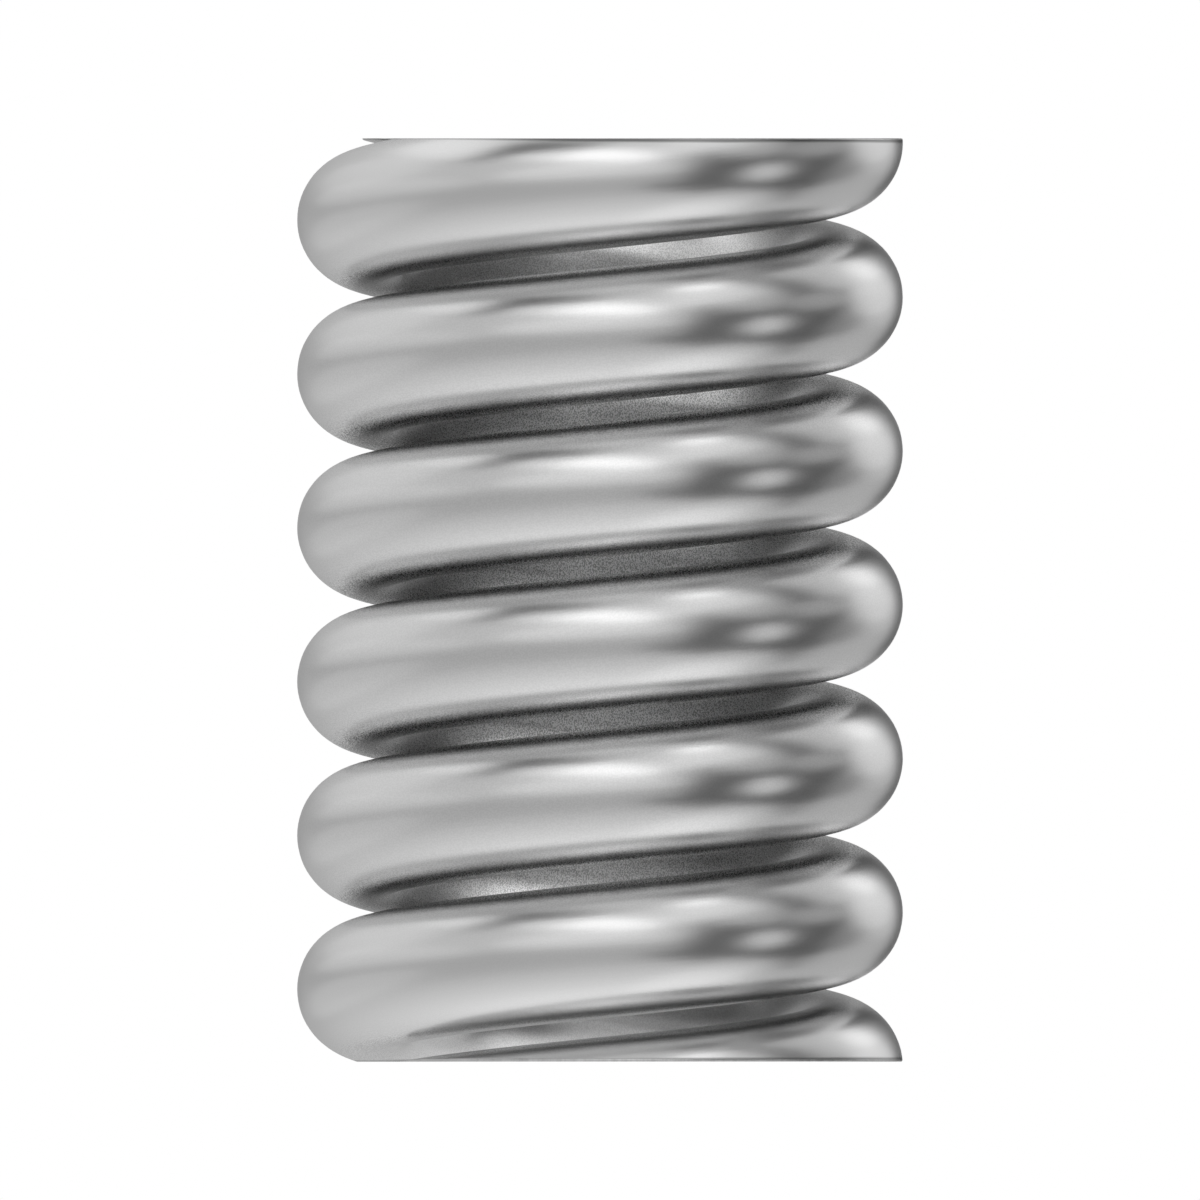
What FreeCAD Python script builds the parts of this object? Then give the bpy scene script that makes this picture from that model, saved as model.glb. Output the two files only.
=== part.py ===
import FreeCAD, Part
import math
import os

import Sketcher
from FreeCAD import Placement, Rotation, Vector

# A heavy round-wire compression spring that slides over a brake rod.
#
# It is one piece of wire, wound right-handed at one even pitch from end to end. Both ends are
# open: the last turn isn't closed down on its neighbour. Both are then ground flat and square to
# the axis, so each end is a crescent of bare steel. It is as wide as the wire in its middle, and
# narrows where the wire rises away into the coil and again where it runs out to a thin tip.
#
# The axis is Z, and the bottom ground face lies in the plane z = 0 with the axis through the
# origin. Sizes are in millimetres and degrees.

# Driving sizes: name, value, what it measures
SIZES = [
    ("wire_diameter", 6.35, "round spring wire, quarter inch"),
    ("inner_diameter", 15.875, "clear passage for a 12.7 mm rod"),
    ("coil_gap", 0.91, "pitch less the wire's own thickness"),
    ("total_coils", 6.0, "turns between the two ground faces"),
    ("start_angle", 11.0, "from X round to where the wire's centre line meets the bottom face"),
]

# What follows from them, written as expressions that the features below share
SHEET = "Sizes"
WIRE_RADIUS = f"{SHEET}.wire_diameter / 2"
MEAN_RADIUS = f"({SHEET}.inner_diameter + {SHEET}.wire_diameter) / 2"
OUTER_DIAMETER = f"({SHEET}.inner_diameter + 2 * {SHEET}.wire_diameter)"
PITCH = f"({SHEET}.wire_diameter + {SHEET}.coil_gap)"
FREE_LENGTH = f"({PITCH} * {SHEET}.total_coils)"
LEAD_ANGLE = f"atan({PITCH} / (2 * pi * {MEAN_RADIUS}))"

# The wire is wound a whole turn past each ground face, so that grinding takes its cut ends away.
# It is cut off on the X side, so the lower spare turn is longer by the start angle.
SPARE_ABOVE = PITCH
SPARE_BELOW = f"({PITCH} * (1 + {SHEET}.start_angle / 360))"

# The section is drawn as this many arcs. Each one makes a face that runs the wire's whole length:
# a single face right round so long a coil meshes badly.
SECTION_ARCS = 8

# A sketch's own names for the points of an arc, its origin and its X axis
START, END, CENTRE = 1, 2, 3
ORIGIN = (-1, START)
X_AXIS = -1


def make_sizes(doc):
    """The sheet of driving sizes: column A names each one, B holds it and C says what it is."""
    sheet = doc.addObject("Spreadsheet::Sheet", SHEET)
    for row, (alias, value, meaning) in enumerate(SIZES, start=1):
        sheet.set(f"A{row}", alias)
        sheet.set(f"B{row}", str(value))
        sheet.set(f"C{row}", meaning)
        sheet.setAlias(f"B{row}", alias)
    doc.recompute()


def new_sketch(body, name, role):
    """An empty sketch on the body's own origin plane in that role, such as XY_Plane."""
    sketch = body.newObject("Sketcher::SketchObject", name)
    plane = next(feature for feature in body.Origin.OriginFeatures if feature.Role == role)
    sketch.AttachmentSupport = [(plane, "")]
    sketch.MapMode = "FlatFace"
    return sketch


def constrain(sketch, *terms):
    """Adds one constraint and gives its number."""
    return sketch.addConstraint(Sketcher.Constraint(*terms))


def make_centre_line(doc, body):
    """The wire's centre line: one unbroken helix, brought into the body as its path."""
    helix = doc.addObject("Part::Helix", "centre_line")
    helix.SegmentLength = 0  # no break at each turn
    helix.setExpression("Radius", MEAN_RADIUS)
    helix.setExpression("Pitch", PITCH)
    helix.setExpression("Height", f"{SPARE_BELOW} + {FREE_LENGTH} + {SPARE_ABOVE}")
    helix.setExpression(".Placement.Base.z", f"-{SPARE_BELOW}")
    path = body.newObject("PartDesign::SubShapeBinder", "path")
    path.Support = [(helix, ("Edge1",))]
    doc.recompute()
    return path


def draw_wire_section(doc, body):
    """The wire's round section, at the foot of the centre line.

    It leans by the lead angle to cut the wire squarely, so that the wire comes out truly round.
    """
    sketch = new_sketch(body, "wire_section", "XZ_Plane")
    sketch.AttachmentOffset = Placement(Vector(0, 0, 0), Rotation(Vector(1, 0, 0), 0))
    sketch.setExpression(".AttachmentOffset.Base.y", f"-{SPARE_BELOW}")
    sketch.setExpression(".AttachmentOffset.Rotation.Angle", LEAD_ANGLE)

    rough_radius, rough_reach = 1, 3  # until the sheet's sizes take over
    circle = Part.Circle(Vector(rough_reach, 0, 0), Vector(0, 0, 1), rough_radius)
    span = 2 * math.pi / SECTION_ARCS
    arcs = [
        sketch.addGeometry(Part.ArcOfCircle(circle, span * k, span * (k + 1)))
        for k in range(SECTION_ARCS)
    ]
    first, last = arcs[0], arcs[-1]
    for arc, following in zip(arcs, arcs[1:] + [first]):
        constrain(sketch, "Coincident", arc, END, following, START)
    for arc in arcs[1:-1]:
        constrain(sketch, "Coincident", arc, CENTRE, first, CENTRE)
    for arc in arcs[:-1]:
        constrain(sketch, "Angle", arc, span)
    constrain(sketch, "Equal", last, first)
    constrain(sketch, "Horizontal", first, START, first, CENTRE)
    constrain(sketch, "PointOnObject", first, CENTRE, X_AXIS)
    radius = constrain(sketch, "Radius", first, rough_radius)
    reach = constrain(sketch, "DistanceX", *ORIGIN, first, CENTRE, rough_reach)
    sketch.setExpression(f"Constraints[{radius}]", WIRE_RADIUS)
    sketch.setExpression(f"Constraints[{reach}]", MEAN_RADIUS)
    doc.recompute()
    return sketch


def wind_wire(doc, body):
    """The coil before grinding: the section carried along the centre line."""
    path = make_centre_line(doc, body)
    section = draw_wire_section(doc, body)
    wire = body.newObject("PartDesign::AdditivePipe", "wound_wire")
    wire.Profile = section
    wire.Spine = (path, ["Edge1"])
    wire.Mode = "Frenet"
    doc.recompute()


def grind_end(doc, body, name, level, above):
    """Takes off all the wire above a level, or all below it, and leaves a flat face there."""
    volume = body.Shape.Volume
    sketch = new_sketch(body, f"{name}_outline", "XY_Plane")
    sketch.setExpression(".AttachmentOffset.Base.z", level)
    rough_radius = 1
    circle = sketch.addGeometry(Part.Circle(Vector(0, 0, 0), Vector(0, 0, 1), rough_radius))
    constrain(sketch, "Coincident", circle, CENTRE, *ORIGIN)
    radius = constrain(sketch, "Radius", circle, rough_radius)
    sketch.setExpression(f"Constraints[{radius}]", OUTER_DIAMETER)
    doc.recompute()

    face = body.newObject("PartDesign::Pocket", name)
    face.Profile = sketch
    face.Type = "ThroughAll"
    face.Reversed = above
    doc.recompute()
    if face.Shape.Volume >= volume:
        raise RuntimeError(f"{name} takes nothing off the wire")


def make_coil_spring(doc):
    """The one piece: wound with spare turns, then ground at both ends."""
    body = doc.addObject("PartDesign::Body", "coil_spring")
    body.Label = "coil_spring"
    wind_wire(doc, body)
    grind_end(doc, body, "bottom_ground_face", "0", above=False)
    grind_end(doc, body, "top_ground_face", FREE_LENGTH, above=True)
    return body


def check(doc, parts):
    """Stops with a message if a feature failed or a part isn't one sound solid."""
    for item in doc.Objects:
        if {"Invalid", "Error"} & set(item.State):
            raise RuntimeError(f"{item.Label} failed: {item.State}")
    for part in parts:
        shape = part.Shape
        if shape.isNull() or not shape.isValid() or len(shape.Solids) != 1:
            raise RuntimeError(f"{part.Label} isn't one sound solid")


def write_files(parts):
    """One STEP file for each part, named by its label."""
    os.makedirs("parts", exist_ok=True)
    for part in parts:
        part.Shape.exportStep(f"parts/{part.Label}.step")
        print(f"{part.Label}: {part.Shape.Volume:.0f} mm3")


document = FreeCAD.newDocument("brake_rod_spring")
make_sizes(document)
all_parts = [make_coil_spring(document)]
check(document, all_parts)
write_files(all_parts)
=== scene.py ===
import math

import bmesh
import bpy
import numpy as np
from mathutils import Matrix, Vector


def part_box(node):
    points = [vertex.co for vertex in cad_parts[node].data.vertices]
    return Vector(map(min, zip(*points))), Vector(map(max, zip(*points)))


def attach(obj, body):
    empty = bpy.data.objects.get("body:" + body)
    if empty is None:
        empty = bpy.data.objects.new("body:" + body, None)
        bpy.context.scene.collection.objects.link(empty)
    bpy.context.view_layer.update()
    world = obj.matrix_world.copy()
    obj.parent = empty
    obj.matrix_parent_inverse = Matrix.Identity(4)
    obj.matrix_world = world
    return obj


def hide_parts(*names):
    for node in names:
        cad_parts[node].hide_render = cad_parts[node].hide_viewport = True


# A brake rod spring: thick round wire, wound right-handed, open at both ends and ground flat there.
#
# The spring is one piece, and its skin is worked out here on one grid: rings square to the wire,
# carried along the helix. Each ring is the wire's round section, less what the grinding took off,
# with the cut edges rounded as tumbling leaves them.

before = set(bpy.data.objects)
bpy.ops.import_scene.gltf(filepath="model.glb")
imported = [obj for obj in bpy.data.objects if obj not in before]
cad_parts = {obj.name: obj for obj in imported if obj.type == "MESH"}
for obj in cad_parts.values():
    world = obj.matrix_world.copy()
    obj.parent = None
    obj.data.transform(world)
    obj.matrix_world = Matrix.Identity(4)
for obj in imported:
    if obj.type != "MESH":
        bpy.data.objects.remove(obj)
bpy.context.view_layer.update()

NODE = "coil_spring"
MM = 0.001

# The wire and the coil, in metres and degrees
WIRE_RADIUS = 6.35 / 2 * MM
TURNS = 6
START_ANGLE = 11.0   # from X round to where the wire's centre line meets the bottom face
EDGE_BREAK = 0.08 * MM   # radius that tumbling leaves on the ground edges
TIP_THICKNESS = 0.02 * MM   # the feather edge that the grinding runs out to
TIP_SHARPNESS = 0.3   # most of the tip's thickness that the edge break may take
coil_low, coil_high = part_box(NODE)
FREE_LENGTH = coil_high.z - coil_low.z
MEAN_RADIUS = (coil_high.x - coil_low.x) / 2 - WIRE_RADIUS
PITCH = FREE_LENGTH / TURNS
LEAD = math.atan(PITCH / (2 * math.pi * MEAN_RADIUS))

# How finely the skin is divided
ROUND_STEPS = 36   # over each side of the wire
EDGE_STEPS = 5     # round each ground edge
FACE_STEPS = 10    # across each ground face
GRIND_STEPS = 180  # along the wire, from the thin tip to where it is whole again
RINGS_A_TURN = 110
WELD_DISTANCE = 0.0001 * MM   # points closer than this are one

# The photograph's view, and the floor, in metres
VIEW_CENTRE = Vector((0, 0, FREE_LENGTH / 2))
VIEW_WIDTH = 0.05661   # across the square picture
CAMERA_REACH = 0.5
CAMERA_NEAR = 0.01
CAMERA_FAR = 10.0
FLOOR_SIZE = 2.0
FLOOR_CLEARANCE = 0.01 * MM   # below the ground face, so that the two don't fight


def linear(hex_colour):
    """An sRGB hex colour such as "#c5c5c6" as the linear RGBA that a socket takes."""
    channels = np.array([int(hex_colour[i : i + 2], 16) for i in (1, 3, 5)]) / 255
    dark = channels / 12.92
    light = ((channels + 0.055) / 1.055) ** 2.4
    return (*np.where(channels <= 0.04045, dark, light).tolist(), 1.0)


def grey(amount):
    """A brightness or a strength as the grey that a colour socket or a ramp takes."""
    return (amount, amount, amount, 1.0)


def add_node(tree, kind, values=None, links=None, stops=(), **settings):
    """Adds a node: settings are its properties, values its own sockets' numbers and colours, links
    the sockets that take another node's output, and stops a ramp's places, from 0 to 1, each with
    the colour there."""
    node = tree.nodes.new(kind)
    for name, setting in settings.items():
        setattr(node, name, setting)
    for name, value in (values or {}).items():
        node.inputs[name].default_value = value
    for name, output in (links or {}).items():
        tree.links.new(output, node.inputs[name])

    # A new ramp has two stops already
    for _ in stops[2:]:
        node.color_ramp.elements.new(0.5)
    for number, (place, colour) in enumerate(stops):
        node.color_ramp.elements[number].position = place
        node.color_ramp.elements[number].color = colour
    return node


def new_material(name):
    """A material whose node tree is still empty, and that tree."""
    material = bpy.data.materials.new(name)
    material.use_nodes = True
    tree = material.node_tree
    tree.nodes.clear()
    return material, tree


def add_object(name, data):
    """Puts a mesh, a lamp or a camera into the scene."""
    item = bpy.data.objects.new(name, data)
    bpy.context.scene.collection.objects.link(item)
    return item


def flat_mesh(name, width, height, level=0.0):
    """One flat face, centred on the Z axis and facing up."""
    x, y = width / 2, height / 2
    corners = [(-x, -y, level), (x, -y, level), (x, y, level), (-x, y, level)]
    mesh = bpy.data.meshes.new(name)
    mesh.from_pydata(corners, [], [(0, 1, 2, 3)])
    return mesh


# The wire's colour across its section, with painted shade on the flanks that face the next turn, and
# how strong its grain is there: 0 is the innermost line of the section, 0.5 is halfway round and 1 is
# the outermost line
WIRE_GREY_AND_FLANK_SHADE = [
    (0.26, linear("#e9e9e9")),
    (0.44, linear("#a8a8a8")),
    (0.56, linear("#a6a6a6")),
    (0.70, linear("#e3e3e3")),
]
WIRE_GRAIN = [
    (0.15, grey(0.38)),
    (0.42, grey(1.00)),
    (0.66, grey(1.00)),
    (0.72, grey(0.30)),
    (0.80, grey(0.10)),
    (0.92, grey(0.03)),
]
TUMBLED_STEEL = WIRE_GREY_AND_FLANK_SHADE[-1][1]

# How far from the nearer ground face the painted shade between the turns, the grain and the painted
# shade along the ground edges change, in metres
OPEN_FLANK_TO = 0.4 * MM     # flanks with no turn beside them
SHUT_FLANK_FROM = 2.0 * MM   # flanks that the next turn shades
BORE_WORN_TO = 2.6 * MM      # where the media wear the bore's grain most
BORE_KEPT_FROM = 11.3 * MM   # and where they hardly reach it
EDGE_SHADE_DARK_TO = 0.02 * MM     # the painted shade along each ground edge, where it is thinnest
EDGE_SHADE_GONE_FROM = 0.12 * MM

# How much grain is left at the bore's ends, and how dark the painted shade along the ground edges is
WORN_GRAIN = 0.2
EDGE_SHADE_DARKEST = 0.35

# The painted shade along the ground edges widens along X from one place to another, and is uneven,
# all in metres
EDGE_SHADE_WIDENS_FROM = -3.0 * MM
EDGE_SHADE_WIDENS_TO = 6.0 * MM
EDGE_SHADE_WIDENING = 0.13 * MM
EDGE_SHADE_UNEVENNESS = 0.3 * MM

# Patterns on the wire: the size of each across it, in metres, and that size over its length
GRAIN_CELL = 0.07 * MM
DIE_LINE_SPACING = 0.14 * MM
DIE_LINE_SLIMNESS = 0.02
CLOUD_SIZE = 5.0 * MM
CLOUD_SLIMNESS = 0.3
RELIEF = 0.02 * MM   # how deep the grain and every mark are taken to be

# How rough the tumbled wire is, from its smoothest clouds to its dullest
SMOOTHEST = 0.28
DULLEST = 0.30


def grey_with_flank_shade(tree, outward, from_end):
    """The wire's own grey, with painted shade between the turns: the flanks that face each other
    there are painted darker, where the shade falls. The flanks that the grinding leaves open at the
    two ends, with no turn beside them, are as light as the outside."""
    skin = add_node(tree, "ShaderNodeValToRGB", links={"Fac": outward}, stops=WIRE_GREY_AND_FLANK_SHADE)
    opened = add_node(
        tree,
        "ShaderNodeMapRange",
        values={"From Min": OPEN_FLANK_TO, "From Max": SHUT_FLANK_FROM, "To Min": 1.0, "To Max": 0.0},
        links={"Value": from_end},
    )
    lightened = add_node(
        tree,
        "ShaderNodeMix",
        data_type="RGBA",
        values={"B": TUMBLED_STEEL},
        links={"Factor": opened.outputs["Result"], "A": skin.outputs["Color"]},
    )
    return lightened.outputs["Result"]


def worn_grain(tree, grain, outward, from_end):
    """How much lighter or darker each speck of the grain makes the wire. The grain is kept on the
    flanks between the turns. The media wear it down on the inner side, which they reach through
    the bore, mostly near its two ends, and nearly away outside. The specks even out at 1."""
    speckle = add_node(
        tree,
        "ShaderNodeMapRange",
        values={"From Min": 0.38, "From Max": 0.62, "To Min": 0.0, "To Max": 2.0},
        links={"Value": grain},
    )
    sheltered = add_node(
        tree,
        "ShaderNodeMapRange",
        values={
            "From Min": BORE_WORN_TO,
            "From Max": BORE_KEPT_FROM,
            "To Min": WORN_GRAIN,
            "To Max": 1.0,
        },
        links={"Value": from_end},
    )
    strength = add_node(tree, "ShaderNodeValToRGB", links={"Fac": outward}, stops=WIRE_GRAIN)
    graininess = add_node(
        tree,
        "ShaderNodeMath",
        operation="MULTIPLY",
        links={0: strength.outputs["Color"], 1: sheltered.outputs["Result"]},
    )
    grained = add_node(
        tree,
        "ShaderNodeMix",
        values={"A": 1.0},
        links={"Factor": graininess.outputs["Value"], "B": speckle.outputs["Result"]},
    )
    return grained.outputs["Result"]


def painted_edge_shade(tree, sideways, from_end, clouds):
    """How much darker a painted line of shade along each ground edge makes the wire: thin and uneven,
    and wider towards +X. The clouds' noise, 0.5 on average, shifts the line's edge to and fro by
    its unevenness."""
    edge_shade_width = add_node(
        tree,
        "ShaderNodeMapRange",
        values={
            "From Min": EDGE_SHADE_WIDENS_FROM,
            "From Max": EDGE_SHADE_WIDENS_TO,
            "To Min": 0.0,
            "To Max": EDGE_SHADE_WIDENING,
        },
        links={"Value": sideways},
    )
    beyond = add_node(
        tree,
        "ShaderNodeMath",
        operation="SUBTRACT",
        links={0: from_end, 1: edge_shade_width.outputs["Result"]},
    )
    ragged = add_node(
        tree,
        "ShaderNodeMath",
        operation="MULTIPLY_ADD",
        values={1: EDGE_SHADE_UNEVENNESS},
        links={0: clouds, 2: beyond.outputs["Value"]},
    )
    line = add_node(
        tree,
        "ShaderNodeMapRange",
        values={
            "From Min": EDGE_SHADE_DARK_TO + EDGE_SHADE_UNEVENNESS / 2,
            "From Max": EDGE_SHADE_GONE_FROM + EDGE_SHADE_UNEVENNESS / 2,
            "To Min": EDGE_SHADE_DARKEST,
            "To Max": 1.0,
        },
        links={"Value": ragged.outputs["Value"]},
    )
    return line.outputs["Result"]


def drawn_spring_wire():
    """Satin drawn spring steel, tumbled: an even light grey with a soft sheen.

    Between the turns it is painted darker, as shade, and is grainy, and a thin painted line of shade
    follows each ground edge: the three functions above say how. The grain is finer in life, and is
    drawn with cells of 0.07 mm, about as fine as a picture of the whole spring can show.

    The die leaves lines along the wire, about 0.03 mm apart. They are too fine to show, so they are
    drawn 0.14 mm apart, faintly, and break the edges of each reflection into short streaks. Faint
    clouds, some 5 mm across, make the sheen a little uneven.
    """
    material, tree = new_material("satin_tumbled_spring_wire_with_painted_shade")

    # Where a point lies: along the straightened wire, from the section's innermost line, 0, to its
    # outermost, 1, and from the nearer ground face
    along = add_node(tree, "ShaderNodeAttribute", attribute_name="along_wire")
    section = add_node(tree, "ShaderNodeSeparateXYZ", links={0: along.outputs["Vector"]})
    outward = add_node(
        tree,
        "ShaderNodeMapRange",
        values={"From Min": -WIRE_RADIUS, "From Max": WIRE_RADIUS},
        links={"Value": section.outputs["Y"]},
    )
    place = add_node(tree, "ShaderNodeTexCoord")
    level = add_node(tree, "ShaderNodeSeparateXYZ", links={0: place.outputs["Object"]})
    from_end = add_node(
        tree,
        "ShaderNodeMath",
        operation="PINGPONG",
        values={1: FREE_LENGTH / 2},
        links={0: level.outputs["Z"]},
    )

    grain = add_node(
        tree,
        "ShaderNodeTexNoise",
        values={"Scale": 1 / GRAIN_CELL, "Detail": 0.0},
        links={"Vector": along.outputs["Vector"]},
    )
    line_place = add_node(
        tree,
        "ShaderNodeMapping",
        values={"Scale": (DIE_LINE_SLIMNESS, 1.0, 1.0)},
        links={"Vector": along.outputs["Vector"]},
    )
    lines = add_node(
        tree,
        "ShaderNodeTexNoise",
        values={"Scale": 1 / DIE_LINE_SPACING, "Detail": 2.0, "Roughness": 0.6},
        links={"Vector": line_place.outputs["Vector"]},
    )
    cloud_place = add_node(
        tree,
        "ShaderNodeMapping",
        values={"Scale": (CLOUD_SLIMNESS, 1.0, 1.0)},
        links={"Vector": along.outputs["Vector"]},
    )
    clouds = add_node(
        tree,
        "ShaderNodeTexNoise",
        values={"Scale": 1 / CLOUD_SIZE, "Detail": 3.0},
        links={"Vector": cloud_place.outputs["Vector"]},
    )

    # The wire's grey, carrying the painted shade between the turns
    tumbled = grey_with_flank_shade(tree, outward.outputs["Result"], from_end.outputs["Value"])
    grained = worn_grain(
        tree, grain.outputs["Fac"], outward.outputs["Result"], from_end.outputs["Value"]
    )
    # A painted line of shade darkens the wire along each ground edge
    edge_shaded = painted_edge_shade(tree, level.outputs["X"], from_end.outputs["Value"], clouds.outputs["Fac"])
    shade = add_node(tree, "ShaderNodeMath", operation="MULTIPLY", links={0: edge_shaded, 1: grained})
    colour = add_node(
        tree,
        "ShaderNodeVectorMath",
        operation="SCALE",
        links={0: tumbled, "Scale": shade.outputs["Value"]},
    )
    roughness = add_node(
        tree,
        "ShaderNodeMapRange",
        values={"From Min": 0.3, "From Max": 0.7, "To Min": SMOOTHEST, "To Max": DULLEST},
        links={"Value": clouds.outputs["Fac"]},
    )
    relief = add_node(
        tree,
        "ShaderNodeMath",
        operation="ADD",
        links={0: grain.outputs["Fac"], 1: lines.outputs["Fac"]},
    )
    bump = add_node(
        tree,
        "ShaderNodeBump",
        values={"Strength": 0.08, "Distance": RELIEF},
        links={"Height": relief.outputs["Value"]},
    )
    shader = add_node(
        tree,
        "ShaderNodeBsdfPrincipled",
        values={"Metallic": 1.0},
        links={
            "Base Color": colour.outputs["Vector"],
            "Roughness": roughness.outputs["Result"],
            "Normal": bump.outputs["Normal"],
        },
    )
    add_node(tree, "ShaderNodeOutputMaterial", links={"Surface": shader.outputs["BSDF"]})
    return material


# The grinding wheel's middle, beside the spring, and the bands that its grit leaves, in metres
WHEEL_CENTRE = (120 * MM, 60 * MM, 0.0)
BAND_WIDTH = 0.4 * MM
GROUND_BANDS = [
    (0.3, linear("#c2c2c2")),
    (0.7, linear("#dadada")),
]


def ground_end_steel():
    """Bare steel as the grinding wheel leaves it: a plain grey sheen, with fine arcs across the face.

    The wheel is far wider than the spring, so its marks are nearly straight. Each is about 0.05 mm
    wide, too fine to show, but they lie in lighter and darker bands, about 0.4 mm wide, which do.
    """
    material, tree = new_material("wheel_ground_steel")
    place = add_node(tree, "ShaderNodeTexCoord")
    from_wheel = add_node(
        tree,
        "ShaderNodeVectorMath",
        operation="DISTANCE",
        values={1: WHEEL_CENTRE},
        links={0: place.outputs["Object"]},
    )
    scratches = add_node(
        tree,
        "ShaderNodeTexNoise",
        noise_dimensions="1D",
        values={"Scale": 1 / BAND_WIDTH, "Detail": 4.0, "Roughness": 0.75},
        links={"W": from_wheel.outputs["Value"]},
    )
    bands = add_node(
        tree, "ShaderNodeValToRGB", links={"Fac": scratches.outputs["Fac"]}, stops=GROUND_BANDS
    )
    bump = add_node(
        tree,
        "ShaderNodeBump",
        values={"Strength": 0.25, "Distance": RELIEF},
        links={"Height": scratches.outputs["Fac"]},
    )
    shader = add_node(
        tree,
        "ShaderNodeBsdfPrincipled",
        values={"Metallic": 1.0, "Roughness": 0.33},
        links={"Base Color": bands.outputs["Color"], "Normal": bump.outputs["Normal"]},
    )
    add_node(tree, "ShaderNodeOutputMaterial", links={"Surface": shader.outputs["BSDF"]})
    return material


def ring_places():
    """Every ring along the wire, as four arrays: turn, low, high and edge.

    turn is the angle round the coil. The grinding leaves a section between two chords, and low and
    high are the angles, seen from the wire's centre, at which they meet the circle that lies one
    edge break further in: -90 and 90 degrees where the wire is whole. edge is the edge break.

    The bottom face is the plane z = 0. It cuts a section at the height r sin(cut) over the wire's
    centre, so the centre is r sin(cut) cos(lead) below the plane, which gives the turn. cut runs
    from the thin tip, where almost nothing is left, to -90 degrees, where the wire is whole again.
    """
    tip = math.asin(1 - TIP_THICKNESS / WIRE_RADIUS)
    cut = np.linspace(tip, -math.pi / 2, GRIND_STEPS + 1)
    height = WIRE_RADIUS * np.sin(cut)
    edge = np.minimum(EDGE_BREAK, TIP_SHARPNESS * (WIRE_RADIUS - height))
    chord = np.arcsin(np.clip((height + edge) / (WIRE_RADIUS - edge), -1, 1))
    rise = -2 * math.pi * height * math.cos(LEAD) / PITCH
    bottom = math.radians(START_ANGLE) + rise
    top = math.radians(START_ANGLE + 360 * TURNS) - rise[::-1]
    whole_rings = int((top[0] - bottom[-1]) / (2 * math.pi) * RINGS_A_TURN)
    middle = np.linspace(bottom[-1], top[0], whole_rings + 2)[1:-1]

    uncut = np.full_like(cut, math.pi / 2)
    whole = np.full_like(middle, math.pi / 2)
    turn = np.concatenate([bottom, middle, top])
    low = np.concatenate([chord, -whole, -uncut])
    high = np.concatenate([uncut, whole, -chord[::-1]])
    edge = np.concatenate([edge, np.full_like(middle, EDGE_BREAK), edge[::-1]])
    return turn, low, high, edge


def sweep(start, end, steps):
    """Even steps for every ring from start up to end, which the next stretch begins with."""
    return start[:, None] + (end - start)[:, None] * np.arange(steps) / steps


def half_loop(start, end):
    """Half of every ring's loop: across and up on the inset circle of radius 1, and facing.

    It goes over a round side of the wire from the angle start to the angle end, and then over the
    ground face that meets it there. facing is the way out of the wire. It turns with the round
    side, turns up at the face's near edge, holds over the face and turns on at its far edge.
    """
    side = sweep(start, end, ROUND_STEPS)
    face = np.cos(math.pi * np.arange(FACE_STEPS) / FACE_STEPS)
    edge_to_edge = np.concatenate([np.ones(EDGE_STEPS), face, -np.ones(EDGE_STEPS)])
    face_across = np.cos(end)[:, None] * edge_to_edge
    face_up = np.sin(end)[:, None] + np.zeros_like(face_across)
    across = np.hstack([np.cos(side), face_across])
    up = np.hstack([np.sin(side), face_up])

    square_on = np.full_like(end, math.pi / 2)
    facing = [
        side,
        sweep(end, square_on, EDGE_STEPS),
        sweep(square_on, square_on, FACE_STEPS),
        sweep(square_on, math.pi - end, EDGE_STEPS),
    ]
    return across, up, np.hstack(facing)


def wire_sections():
    """Every ring's turn, and how far its points lie outward and upward from the wire's centre.

    A ring's loop is the outer half from low to high, and the inner half, which is an outer half
    from -high to -low turned by 180 degrees. Each point is on the inset circle or chord, and one
    edge break further out.
    """
    turn, low, high, edge = ring_places()
    across, up, facing = half_loop(low, high)
    inner_across, inner_up, inner_facing = half_loop(-high, -low)
    facing = np.hstack([facing, inner_facing + math.pi])
    inset = (WIRE_RADIUS - edge)[:, None]
    outward = inset * np.hstack([across, -inner_across]) + edge[:, None] * np.cos(facing)
    upward = inset * np.hstack([up, -inner_up]) + edge[:, None] * np.sin(facing)
    return turn, outward, upward


def with_closed_ends(grid):
    """The grid of rings, with one more at each end that is all at the middle of the one beside it."""
    before = np.broadcast_to(grid[:1].mean(axis=1, keepdims=True), grid[:1].shape)
    after = np.broadcast_to(grid[-1:].mean(axis=1, keepdims=True), grid[-1:].shape)
    return np.concatenate([before, grid, after])


def spring_skin():
    """Points of the whole skin, where each lies along the straightened wire, its faces, and which
    of them are ground.

    The centre of the wire is at (R cos t, R sin t, rise). A ring lies in the plane of the radius
    (cos t, sin t, 0) and of the binormal, which leans back from Z by the lead angle.
    """
    turn, outward, upward = wire_sections()
    zero = np.zeros_like(turn)
    radius = np.stack([np.cos(turn), np.sin(turn), zero], axis=-1)[:, None, :]
    ahead = np.stack([-np.sin(turn), np.cos(turn), zero], axis=-1)[:, None, :]
    axis = np.array([0, 0, 1.0])
    binormal = axis * math.cos(LEAD) - ahead * math.sin(LEAD)
    rise = (turn - math.radians(START_ANGLE)) / (2 * math.pi) * PITCH
    points = (
        (MEAN_RADIUS + outward[:, :, None]) * radius
        + rise[:, None, None] * axis
        + upward[:, :, None] * binormal
    )
    distance = (turn * MEAN_RADIUS / math.cos(LEAD))[:, None] + np.zeros_like(outward)
    along = np.stack([distance, outward, upward], axis=-1)
    points = with_closed_ends(points)
    along = with_closed_ends(along)

    rings, columns = points.shape[:2]
    here = np.arange(rings - 1)[:, None] * columns + np.arange(columns)
    beside = np.roll(here, -1, axis=1)
    faces = np.stack([here, here + columns, beside + columns, beside], axis=-1)
    ground = np.tile(np.arange(columns // 2) >= ROUND_STEPS, 2 * (rings - 1))
    return points.reshape(-1, 3), along.reshape(-1, 3), faces.reshape(-1, 4), ground


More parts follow.
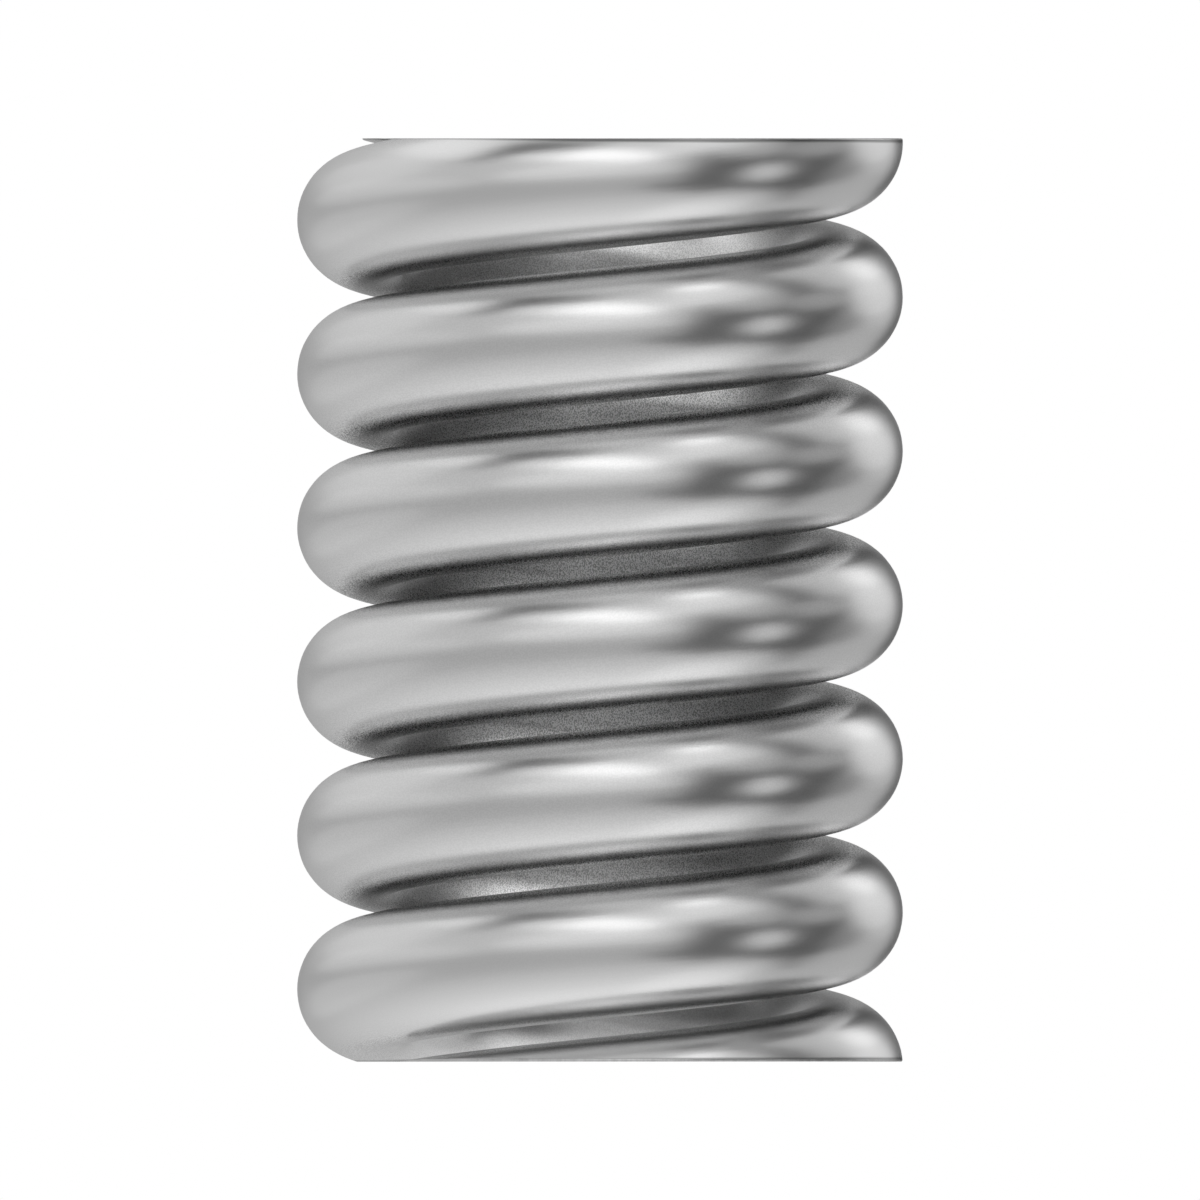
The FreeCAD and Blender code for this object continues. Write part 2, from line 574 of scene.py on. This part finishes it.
def make_spring():
    """The one piece, closed at both thin tips, with its ground faces in their own finish."""
    points, along, faces, ground = spring_skin()
    mesh = bpy.data.meshes.new("wound_wire")
    mesh.from_pydata(points, [], faces.tolist())
    along_wire = mesh.attributes.new("along_wire", "FLOAT_VECTOR", "POINT")
    along_wire.data.foreach_set("vector", along.ravel())
    mesh.polygons.foreach_set("material_index", ground.astype(np.int32))
    for material in (drawn_spring_wire(), ground_end_steel()):
        mesh.materials.append(material)

    # Where the wire is whole its ground faces have no width, and each tip's last ring is a point
    skin = bmesh.new()
    skin.from_mesh(mesh)
    bmesh.ops.remove_doubles(skin, verts=skin.verts, dist=WELD_DISTANCE)
    skin.to_mesh(mesh)
    skin.free()
    mesh.shade_smooth()

    spring = add_object("wound_wire", mesh)
    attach(spring, "root")
    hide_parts(NODE)


def make_floor():
    """A plain white floor. The metal doesn't mirror it and it holds back no light, so the room's
    own light from below shows in the spring."""
    mesh = flat_mesh("floor", FLOOR_SIZE, FLOOR_SIZE, -FLOOR_CLEARANCE)
    material, tree = new_material("matt_white_board")
    shader = add_node(
        tree, "ShaderNodeBsdfPrincipled", values={"Base Color": linear("#f2f2f2"), "Roughness": 0.9}
    )
    add_node(tree, "ShaderNodeOutputMaterial", links={"Surface": shader.outputs["BSDF"]})
    mesh.materials.append(material)
    floor = add_object("floor", mesh)
    floor.visible_glossy = False
    floor.visible_shadow = False


# How bright the room is at each height, in degrees above level: a white table under the spring, a
# greyer wall round it, and a paler ceiling over it
ROOM = [
    (-90, 1.00),
    (-60, 0.80),
    (-45, 0.70),
    (-30, 0.60),
    (-15, 0.45),
    (-3, 0.45),
    (3, 0.40),
    (9, 0.45),
    (30, 0.60),
    (60, 0.60),
    (90, 0.55),
]


def make_world():
    """White behind the spring, and the room's grey light, the same all round at each height."""
    world = bpy.data.worlds.new("studio")
    world.use_nodes = True
    tree = world.node_tree
    tree.nodes.clear()
    way = add_node(tree, "ShaderNodeTexCoord")
    height = add_node(tree, "ShaderNodeSeparateXYZ", links={0: way.outputs["Generated"]})
    upward = add_node(
        tree,
        "ShaderNodeMapRange",
        values={"From Min": -1.0, "From Max": 1.0},
        links={"Value": height.outputs["Z"]},
    )
    stops = [((math.sin(math.radians(up)) + 1) / 2, grey(brightness)) for up, brightness in ROOM]
    room = add_node(tree, "ShaderNodeValToRGB", links={"Fac": upward.outputs["Result"]}, stops=stops)
    light = add_node(tree, "ShaderNodeBackground", links={"Color": room.outputs["Color"]})
    white = add_node(tree, "ShaderNodeBackground", values={"Color": grey(1.0)})
    path = add_node(tree, "ShaderNodeLightPath")
    both = add_node(
        tree,
        "ShaderNodeMixShader",
        links={
            0: path.outputs["Is Camera Ray"],
            1: light.outputs["Background"],
            2: white.outputs["Background"],
        },
    )
    add_node(tree, "ShaderNodeOutputWorld", links={"Surface": both.outputs["Shader"]})
    bpy.context.scene.world = world


# What stands round the spring: name, azimuth, elevation, width, height and roll in degrees as the
# spring sees it, and brightness, where 1 is as bright as the white behind the spring. Azimuth 0 is
# towards the camera, 90 to its right. A study of where the photograph's metal mirrors light
# suggested them, and they are set from it in plain steps, mostly 5 degrees and 0.05. The
# metal mirrors each one where it faces halfway between it and the camera: beside each is where on a
# turn that is.
LAMPS = [
    ("key", -10, 48, 60, 18, -25, 1.00),             # front, high: the broad highlight
    ("high_right", 60, 65, 15, 10, -20, 1.30),       # right of the front, high: its bright core
    ("high_right_skirt", 55, 50, 45, 30, 40, 0.30),  # the soft light round that core
    ("small_lamp", 67, -5, 20, 25, 20, 0.80),        # the light spot in the dark patch
    ("rear_right", 135, 15, 35, 45, -50, 0.25),      # right bend, high
    ("rear_low", 130, 5, 45, 30, -25, 0.15),         # right bend, middle
    ("right_gap", 92, 18, 30, 20, -10, 0.35),        # right of the dark patch, high
    ("left_high", -120, 55, 60, 20, 15, 0.40),       # left of the front, top
    ("left_edge", -120, 30, 60, 25, 20, 0.15),       # left bend, high
    ("left_panel", -95, 15, 90, 20, 5, 0.20),        # left bend, middle
    ("left_low", -110, -15, 80, 25, 5, 0.15),        # left bend, low
    ("front_fill", -5, 20, 75, 25, -10, 0.30),       # front, middle
    ("low_right", 70, -60, 45, 30, -35, 0.20),       # right of the front, low
    ("rear_patch", 140, 28, 20, 20, 0, 0.45),        # right bend, near the top
]
CARDS = [
    ("right_card", 72, 3, 75, 65, -10, 0.05),          # right of the front: the dark patch
    ("upper_card", 90, 50, 15, 45, 5, 0.00),           # over the dark patch
    ("high_left_card", -50, 60, 35, 25, -5, 0.00),     # left of the front, high
    ("rear_card", 160, 30, 22, 90, 5, 0.05),           # right bend, top
    ("rear_left_card", -170, 0, 25, 15, 10, 0.35),     # the left rim
    ("low_rear_card", 120, -35, 55, 25, 35, 0.50),     # right bend, low
    ("low_front_card", 35, -20, 35, 10, -30, 0.10),    # under the dark patch, to its left
    ("low_side_card", 95, -35, 35, 5, -30, 0.00),      # under the dark patch, to its right
    ("rear_right_card", 110, -10, 20, 20, -20, 0.25),  # right of the dark patch, low
    ("over_right_card", 63, 30, 25, 25, -30, 0.50),    # the dark patch's upper left
]
LAMP_REACH = 0.8   # metres from the spring's middle
CARD_REACH = 1.2


def span(angle, reach):
    """How wide a flat thing is that takes up that angle, in degrees, at that distance."""
    return 2 * reach * math.tan(math.radians(angle / 2))


def face_spring(item, azimuth, elevation, roll, reach):
    """Puts a flat thing that way from the spring's middle, turned to face it."""
    a, e = math.radians(azimuth), math.radians(elevation)
    away = Vector((math.sin(a) * math.cos(e), -math.cos(a) * math.cos(e), math.sin(e)))
    moved = Matrix.Translation(VIEW_CENTRE + away * reach)
    turned = away.to_track_quat("Z", "Y").to_matrix().to_4x4()
    rolled = Matrix.Rotation(math.radians(roll), 4, "Z")
    item.matrix_world = moved @ turned @ rolled


def make_lamps():
    """Soft oval lamps, each of even brightness over its face: pi watts a square metre make it 1."""
    for name, azimuth, elevation, width, height, roll, brightness in LAMPS:
        lamp = bpy.data.lights.new(name, "AREA")
        lamp.shape = "ELLIPSE"
        lamp.size = span(width, LAMP_REACH)
        lamp.size_y = span(height, LAMP_REACH)
        area = math.pi * lamp.size * lamp.size_y / 4
        lamp.energy = brightness * math.pi * area
        item = add_object(name, lamp)
        face_spring(item, azimuth, elevation, roll, LAMP_REACH)
        item.visible_camera = False


def make_cards():
    """Black and grey cards that hide the room, as a photographer sets them. Each glows evenly at its
    listed brightness, in place of the light that it would catch.
    """
    for name, azimuth, elevation, width, height, roll, brightness in CARDS:
        material, tree = new_material(name)
        shader = add_node(tree, "ShaderNodeEmission", values={"Color": grey(brightness)})
        add_node(tree, "ShaderNodeOutputMaterial", links={"Surface": shader.outputs["Emission"]})
        mesh = flat_mesh(name, span(width, CARD_REACH), span(height, CARD_REACH))
        mesh.materials.append(material)
        card = add_object(name, mesh)
        face_spring(card, azimuth, elevation, roll, CARD_REACH)
        card.visible_camera = False


def make_camera():
    """Straight on, level with the spring's middle, with no perspective, as in the photograph."""
    data = bpy.data.cameras.new("camera")
    data.type = "ORTHO"
    data.ortho_scale = VIEW_WIDTH
    data.clip_start = CAMERA_NEAR
    data.clip_end = CAMERA_FAR
    camera = add_object("camera", data)
    camera.location = VIEW_CENTRE + Vector((0, -CAMERA_REACH, 0))
    camera.rotation_euler = (math.radians(90), 0, 0)
    bpy.context.scene.camera = camera
    bpy.context.scene.view_settings.view_transform = "Standard"


make_camera()
make_world()
make_lamps()
make_cards()
make_floor()
make_spring()
